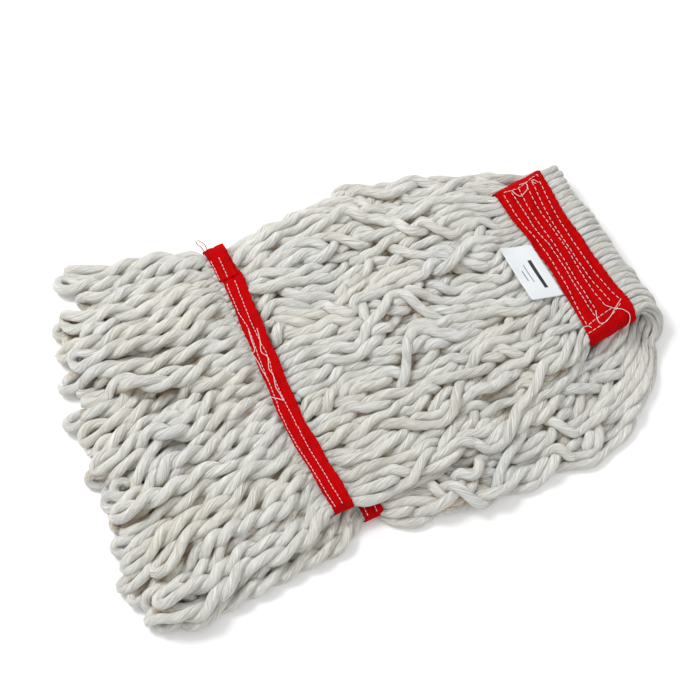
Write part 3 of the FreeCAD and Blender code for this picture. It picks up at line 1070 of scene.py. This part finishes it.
headTape = {
    "centre": (headLow + headHigh) / 2,
    "half": (headHigh - headLow) / 2,
    "lean": 0.0,
    "thick": 0.9,
    # place along the band, and how far its middle strays towards the fold there
    "bow": ((-76, -1.6), (-62, 0.4), (-30, 0.6), (0, 1.6), (25, 1.4), (45, 1.4), (76, 3.4)),
    "waist": 0.13,  # how much narrower its middle is
    "rows": (3.6, 13.2, 17.8, 25.6, 29.6, 37.2),  # quilted lines, from the tail-side edge
    "sink": 0.8,  # depth of the quilting at a row
    "rib": 6.6,  # one cord under the tape
    "ribHeight": 0.3,
    "crumple": 0.5,
    "cells": (40, 190, 18),  # across, along the top, round an end
}


tailBows = {
    "upper": ((-124, 0.0), (-85, -2.6), (-45, -5.2), (-20, -3.8), (15, -1.4), (60, 1.4), (89, 3.8),
              (97, 2.2), (124, 0.4)),
    "lower": ((-124, 0.0), (-60, -1.5), (0, 1.0), (60, -0.8), (124, 0.0)),
}


def tailTape(layer):
    low, high = tailBoxes[layer]
    return {
        "centre": (low + high) / 2,
        "half": np.array([tail["width"], tail["length"], high[2] - low[2]]) / 2,
        "lean": tail["lean"],
        "thick": 0.8,
        "bow": tailBows[layer],
        "waist": 0.0,
        "rows": (2.4, 9.0),
        "sink": 0.6,
        "rib": 7.56,
        "ribHeight": 0.25,
        "crumple": 0.4,
        "cells": (17, 280, 14),
    }


def ringPlace(band, along):
    # a flattened ring seen from the side: straight on top, half circles at its two ends and
    # straight below; along is measured from the middle of the top
    flat = band["half"][1] - band["half"][2]
    radius = band["half"][2]
    size, side = np.abs(along), np.sign(along)
    turn = np.clip((size - flat) / radius, 0, np.pi)
    beyond = np.clip(size - flat - np.pi * radius, 0, None)
    y = np.minimum(size, flat) + radius * np.sin(turn) - beyond
    return side * y, radius * np.cos(turn), side * np.sin(turn), np.cos(turn)


def tapeSurface(band, across, along, lift):
    # a point over the tape: its ring, pushed out by the cords' ribs and the quilting between
    # the rows of stitches, then bowed, leaned and moved to its place
    y, z, outY, outZ = ringPlace(band, along)
    half = band["half"][0]
    edge = smooth(half - 4, half, np.abs(across))
    rib = band["ribHeight"] * np.sin(2 * np.pi * along / band["rib"]) * (0.45 + 0.8 * edge)
    slow = np.sin(along * 0.11 + across * 0.16) + np.sin(along * 0.23 - across * 0.31 + 2)
    out = rib + band["crumple"] * 0.5 * slow - 0.35 * edge
    for row in band["rows"]:
        out = out - band["sink"] * np.exp(-(((across + half - row) / 1.5) ** 2)) * (outZ > 0.2)
    bow = np.interp(y, *zip(*band["bow"]))
    wave = 0.16 * np.sin(2 * np.pi * along / band["rib"] + 1) + 0.35 * np.sin(along * 0.17)
    wave = wave + 0.22 * np.sin(along * 2.9 + np.sin(along * 0.7) * 2)
    waist = 1 - band["waist"] * smooth(-66, -20, y) * smooth(72, 20, y)
    x = across * waist + bow + wave * edge * np.sign(across)
    y = y + outY * (out + lift)
    z = z + outZ * (out + lift)
    lean = band["lean"]
    return np.stack([
        band["centre"][0] + math.cos(lean) * x + math.sin(lean) * y,
        band["centre"][1] - math.sin(lean) * x + math.cos(lean) * y,
        band["centre"][2] + z], axis=-1)


def creases(band, across, along):
    # painted shade on a tape: darker in the quilted lines, at its turned-down edges and in slow patches
    # that follow its crumples
    half = band["half"][0]
    dark = 0.35 * smooth(half - 1.2, half, np.abs(across)) + 0 * along
    for row in band["rows"]:
        dark = dark + 0.3 * np.exp(-(((across + half - row) / 1.0) ** 2))
    slow = np.sin(along * 0.11 + across * 0.16 + 2.5) + np.sin(along * 0.23 - across * 0.31 + 4)
    return np.clip(dark + 0.16 * slow, 0, 1)


def slab(top, thickness):
    # a thin closed sheet under a grid of points: the grid, its copy below and a rim
    rows, columns = top.shape[:2]
    below = top - np.array([0, 0, thickness])
    points = np.concatenate([top.reshape(-1, 3), below.reshape(-1, 3)])
    count = rows * columns
    face = gridQuads(rows, columns, False, False)
    grid = np.arange(count).reshape(rows, columns)
    border = np.concatenate([grid[0, :-1], grid[:-1, -1], grid[-1, :0:-1], grid[:0:-1, 0]])
    after = np.roll(border, -1)
    rim = np.stack([border, border + count, after + count, after], axis=1)
    quads = np.vstack([face, face[:, ::-1] + count, rim])
    first = top[1, 0] - top[0, 0]
    if np.cross(top[0, 1] - top[0, 0], first)[2] < 0:
        quads = quads[:, ::-1]
    return points, quads


tapeFloor = 0.04  # the lowest a tape's outside comes, and half as low as its inside


def makeSleeve(name, band, node, body):
    # a grid closed both ways: along the ring, and over the tape's outside and back inside it
    half = band["half"][0]
    wide, far, end = band["cells"]
    flat = band["half"][1] - band["half"][2]
    arc = np.pi * band["half"][2]
    total = flat + arc + flat
    along = np.concatenate([np.linspace(0, flat, far // 2, endpoint=False),
                            np.linspace(flat, flat + arc, end, endpoint=False),
                            np.linspace(total - flat, total, far // 4)])
    along = np.concatenate([-along[:0:-1], along[:-1]])
    across = np.linspace(-half, half, wide)
    loop = np.concatenate([across, across[::-1]])
    lift = np.concatenate([np.zeros(wide), np.full(wide, -band["thick"])])
    lift[[0, wide - 1]] -= 0.25
    lift[[wide, 2 * wide - 1]] += 0.15
    points = tapeSurface(band, loop[None], along[:, None], lift[None])
    points[..., 2] = np.maximum(points[..., 2], tapeFloor * (1 + (lift < 0)))
    uv = np.stack(np.broadcast_arrays(loop[None] * 0.1 + 30 * (np.arange(2 * wide) >= wide),
                                      along[:, None] * 0.1), axis=-1).reshape(-1, 2)
    quads = gridQuads(len(along), len(loop), True, True)
    crease = creases(band, loop[None], along[:, None]).ravel()
    piece = meshFrom(name, points.reshape(-1, 3), quads, (), uv, {"crease": crease}, red)
    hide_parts(node)
    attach(piece, body)
    return piece


def threadPath(band, knots, spacing):
    # knots are (across from the tail-side edge, along from the near end), in millimetres
    half = band["half"]
    flat = np.array([(x - half[0], y - half[1], 0.0) for x, y in knots])
    return curveThrough(flat, spacing)


threadWidth = 0.6


def dashes(band, knots, pitch, dash, raised=0.0):
    # stitches: short threads that rise out of the tape and dive back into it
    step = 0.25
    fine = threadPath(band, knots, step)
    count = int(len(fine) * step // pitch)
    part = np.linspace(0, 1, 7)
    start = (np.arange(count) * pitch + 0.2) / step
    index = start[:, None] + part[None] * dash / step
    index = np.clip(index, 0, len(fine) - 1)
    across = np.interp(index, np.arange(len(fine)), fine[:, 0])
    along = np.interp(index, np.arange(len(fine)), fine[:, 1])
    across = across + rng.normal(scale=0.12, size=(count, 1))
    lift = -0.4 + 0.8 * np.sin(np.pi * part) ** 0.5 + raised
    points = tapeSurface(band, across, along, lift[None] + 0 * across)
    return tubes(points, threadWidth / 2 * (0.6 + 0.4 * np.sin(np.pi * part) ** 0.4)[None], 6)


def looseThread(band, knots, lift=(0.4, 0.4)):  # lift is its height over the tape, end to end
    fine = threadPath(band, knots, 0.8)
    rise = np.interp(np.linspace(0, 1, len(fine)), np.linspace(0, 1, len(lift)), lift)
    points = tapeSurface(band, fine[:, 0], fine[:, 1], rise)
    return tubes(points[None], threadWidth / 2, 6)


def threadPiece(name, parts, node, body):
    points, quads, ends, uv = gather(parts)
    piece = meshFrom(name, points, quads, ends, uv, None, white)
    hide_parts(node)
    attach(piece, body)
    return piece


headStitching = {  # knots in millimetres from the tape's tail-side edge and its near end
    "rows": (
        ((6.0, 145), (5.0, 117), (6.6, 90), (5.4, 56), (3.4, 30), (2.6, 13)),
        ((13.0, 144), (13.2, 124), (11.6, 107), (13.6, 87), (13.4, 68), (12.4, 46), (12.6, 16)),
        ((20.0, 144), (18.2, 121), (17.6, 80), (15.8, 44), (16.0, 19)),
        ((26.6, 142), (25.6, 117), (25.4, 78), (23.2, 42), (24.4, 20)),
        ((32.4, 143), (29.8, 112), (27.6, 78), (28.2, 47), (31.0, 17)),
        ((38.6, 141), (37.2, 119), (35.8, 101), (34.2, 76), (35.6, 36), (38.2, 17)),
    ),
    "pitches": (4.7, 4.1, 4.7, 4.7, 4.7, 4.7),  # from one stitch to the next
    "dash": 3.4,
    "farCross": ((7.0, 147), (14.0, 145), (20.4, 144), (27.0, 145), (33.0, 146), (39.4, 147), (39.0, 141)),
    "farHook": ((14.0, 145), (14.6, 142), (16.6, 138), (19.6, 137), (26.4, 140), (27.0, 145), (21.8, 146)),
    "farTick": ((34.6, 140), (32.2, 143.4), (34.8, 143.5), (37.4, 140.2)),
    "nearCross": (
        ((0.6, 7.6), (13.6, 8.4), (24.0, 11.0), (38.4, 17.0)),
        ((3.6, 13.6), (12.8, 15.0), (30.6, 16.6)),
    ),
    "nearHook": ((15.6, 21), (13.2, 16), (12.7, 11), (15.9, 8.8), (22.5, 10.4), (30.3, 14.8), (38.6, 19.0)),
    "nearTick": ((-0.4, 13.8), (3.5, 12.8), (5.0, 10.4)),
    "looseEnd": ((24.6, 21), (26.6, 18.2), (30.9, 13.6), (35.5, 9.6), (38.2, 5.0), (37.0, -0.5),
                 (33.0, -3.6), (29.4, -5.0)),
    "looseLift": (0.5, 0.5, 0.7, 0.9, 1.2, 1.6, 2.2),
}


def makeHeadBand():
    sewn = headStitching
    makeSleeve("headBand", headTape, "head_band", "upper_half")
    for number, (knots, pitch) in enumerate(zip(sewn["rows"], sewn["pitches"]), 1):
        row = dashes(headTape, knots, pitch, sewn["dash"])
        threadPiece(f"headStitches_{number}", [row], f"head_stitch_row_{number}", "upper_half")
    far = [dashes(headTape, sewn["farCross"], 4.0, 3.2)]
    far += [looseThread(headTape, sewn[word]) for word in ("farHook", "farTick")]
    threadPiece("headEndStitchesFar", far, "head_end_stitch_far", "upper_half")
    near = [dashes(headTape, knots, 4.2, sewn["dash"]) for knots in sewn["nearCross"]]
    near += [looseThread(headTape, sewn[word]) for word in ("nearHook", "nearTick")]
    near.append(looseThread(headTape, sewn["looseEnd"], sewn["looseLift"]))
    threadPiece("headEndStitchesNear", near, "head_end_stitch_near", "upper_half")


upperTape = tailTape("upper")
lowerTape = tailTape("lower")
tailStitching = {  # knots as on the head band; a tangle is a row's thread that has pulled loose
    "rows": (
        ((2.6, 4), (2.4, 30), (1.8, 62), (1.9, 90), (2.6, 105), (3.2, 140), (4.4, 168), (2.2, 186),
         (2.2, 214)),
        ((9.0, 4), (8.8, 22), (8.6, 50), (8.8, 68), (9.6, 82), (8.4, 100), (8.2, 123), (10.0, 140),
         (8.6, 165), (8.8, 182), (9.2, 214)),
    ),
    "tangles": (
        ((4.0, 166), (3.2, 158), (2.4, 149), (-0.4, 146), (1.4, 138), (1.8, 131), (3.0, 122)),
        ((10.9, 165), (9.4, 155), (6.6, 145), (9.6, 139), (7.0, 129), (8.2, 123), (6.4, 113),
         (7.4, 107), (8.0, 100)),
    ),
    "link": ((0.2, 107), (3.8, 104), (8.2, 100)),  # thread from one row to the other
    "overlap": (((1.6, 215.5), (2.0, 238)), ((8.6, 215.5), (9.2, 237))),
    "lowerRows": (3.4, 11.4),
    "pitch": 3.3,
    "dash": 2.7,
}


def makeTailBands():
    makeSleeve("upperTailBand", upperTape, "upper_tail_band", "upper_half")
    makeSleeve("lowerTailBand", lowerTape, "lower_tail_band", "lower_half")
    sewn = tailStitching
    spacing = sewn["pitch"], sewn["dash"]
    upper = []
    for place in (0, 1):
        parts = [dashes(upperTape, sewn["rows"][place], *spacing)]
        parts.append(looseThread(upperTape, sewn["tangles"][place], (0.35, 0.35)))
        if place == 1:
            parts.append(looseThread(upperTape, sewn["link"], (0.5, 0.5)))
        parts.append(dashes(overlapTape, sewn["overlap"][place], *spacing, overlap["lift"]))
        upper.append(parts)
    for number, parts in enumerate(upper, 1):
        threadPiece(f"upperTailStitches_{number}", parts, f"upper_tail_stitch_{number}", "upper_half")
    for number, across in enumerate(sewn["lowerRows"], 1):
        knots = [(across + 0.5 * math.sin(along * 0.05 * number), along) for along in range(2, 250, 24)]
        threadPiece(f"lowerTailStitches_{number}", [dashes(lowerTape, knots, *spacing)],
                    f"lower_tail_stitch_{number}", "lower_half")


overlap = {
    "lift": 0.85,
    "along": (90.5, 118.5),
    "across": (-7.8, 8.5),
    "droop": (0.35, 0.1),  # how much its two end rows hang down
    # across at the thread's start and at three places on from there
    "threads": ((-7.0, -8.2, -9.6, -9.2), (-4.6, -4.4, -5.6, -7.4)),
    "threadAlong": (121, 126, 130, 134),
    "threadHeights": (6.0, 6.6, 5.4, 3.6),  # over the band's middle
    "threadRadius": 0.35,
}
overlapTape = {**upperTape, "bow": ((-124, 0.3), (124, 0.3))}


def makeOverlap():
    # the tape's end, folded back over the band, and two red threads frayed off its corner
    along = np.linspace(*overlap["along"], 34)
    across = np.linspace(*overlap["across"], 18)
    grid = tapeSurface(overlapTape, across[None], along[:, None], overlap["lift"])
    grid[:2, :, 2] -= np.array(overlap["droop"])[:, None]
    points, quads = slab(grid, overlap["lift"] - 0.1)
    place = np.stack(np.broadcast_arrays(across[None] * 0.1, along[:, None] * 0.1), axis=-1).reshape(-1, 2)
    crease = creases(overlapTape, across[None], along[:, None]).ravel()
    piece = meshFrom("upperTailBandEnd", points, quads, (), np.vstack([place, place + 30]),
                     {"crease": np.tile(crease, 2)}, red)
    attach(piece, "upper_half")
    x = np.array(overlap["threads"])
    y = np.array(overlap["threadAlong"])
    lean = tail["lean"]
    knots = overlapTape["centre"] + np.stack(np.broadcast_arrays(
        math.cos(lean) * x + math.sin(lean) * y, math.cos(lean) * y - math.sin(lean) * x,
        overlap["threadHeights"]), axis=-1)
    threads = [tubes(curveThrough(thread, 0.8)[None], overlap["threadRadius"], 6) for thread in knots]
    points, quads, ends, uv = gather(threads)
    frayed = meshFrom("frayedThreads", points, quads, ends, uv, {"crease": np.zeros(len(points))}, red)
    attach(frayed, "upper_half")


makeOverlap()
makeHeadBand()
makeTailBands()
print("bands and stitches are made")

# the satin label

labelSheet = {
    "root": ((179.0, -10.5), (177.2, -61.0)),  # far and near corner, under the head band's edge
    "free": ((154.6, -0.7), (151.3, -53.4)),
    "thick": 0.35,
    "lift": 0.5,  # over the cords
    "curl": 1.3,
    "tuck": 1.6,  # how far its root lies below the head band's top
    "cells": (24, 44),
    "flat": (0.0265, 0.052),
    "bend": (0.1775, 0.1690),  # x in metres where it leaves the band and where it hangs free
}


def restingHeight(x, y):
    # the cords' highest points over a floor plan, widened and then averaged, as satin lies
    # from cord to cord
    plan, corner = roofs["upper"]
    for axis in (0, 1):
        plan = np.maximum(plan, np.maximum(np.roll(plan, 1, axis), np.roll(plan, -1, axis)))
    plan = np.maximum(plan, headLow[2])
    for axis in (0, 1, 0, 1, 0, 1):
        plan = (np.roll(plan, 1, axis) + 2 * plan + np.roll(plan, -1, axis)) / 4
    column = (x - corner[0]) / planCell - 0.5
    row = (y - corner[1]) / planCell - 0.5
    left, low = np.floor(column).astype(int), np.floor(row).astype(int)
    column, row = column - left, row - low
    return ((1 - column) * (1 - row) * plan[left, low] + column * (1 - row) * plan[left + 1, low]
            + (1 - column) * row * plan[left, low + 1] + column * row * plan[left + 1, low + 1])


def makeLabel():
    # a sheet between four corners, tucked under the band's edge, laid on the cords and curled
    # up towards its free edge
    look = labelSheet
    out = np.linspace(0, 1, look["cells"][0])[:, None, None]
    down = np.linspace(0, 1, look["cells"][1])[None, :, None]
    rootFar, rootNear = (np.array(point) for point in look["root"])
    freeFar, freeNear = (np.array(point) for point in look["free"])
    floor = ((1 - out) * (1 - down) * rootFar + (1 - out) * down * rootNear
             + out * (1 - down) * freeFar + out * down * freeNear)
    out, down = out[..., 0], down[..., 0]
    tucked = headHigh[2] - look["tuck"]
    height = restingHeight(floor[..., 0], floor[..., 1]) + look["lift"]
    under = smooth(headLow[0] + 1.5, headLow[0] - 7, floor[..., 0])
    height = tucked + (height - tucked) * under
    height += look["curl"] * out**3 * (0.4 + (2 * down - 1) ** 2) + 0.3 * np.sin(down * 7 + 1) * out
    grid = np.dstack([floor, height])
    points, quads = slab(grid, look["thick"])
    place = np.stack(np.broadcast_arrays(out, 1 - down), axis=-1).reshape(-1, 2)
    front = np.repeat([1.0, 0.0], len(place))
    piece = meshFrom("satinLabel", points, quads, (), np.vstack([place, place]), {"front": front}, satin)
    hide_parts("care_label")
    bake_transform(piece)


makeLabel()
print("label is made")
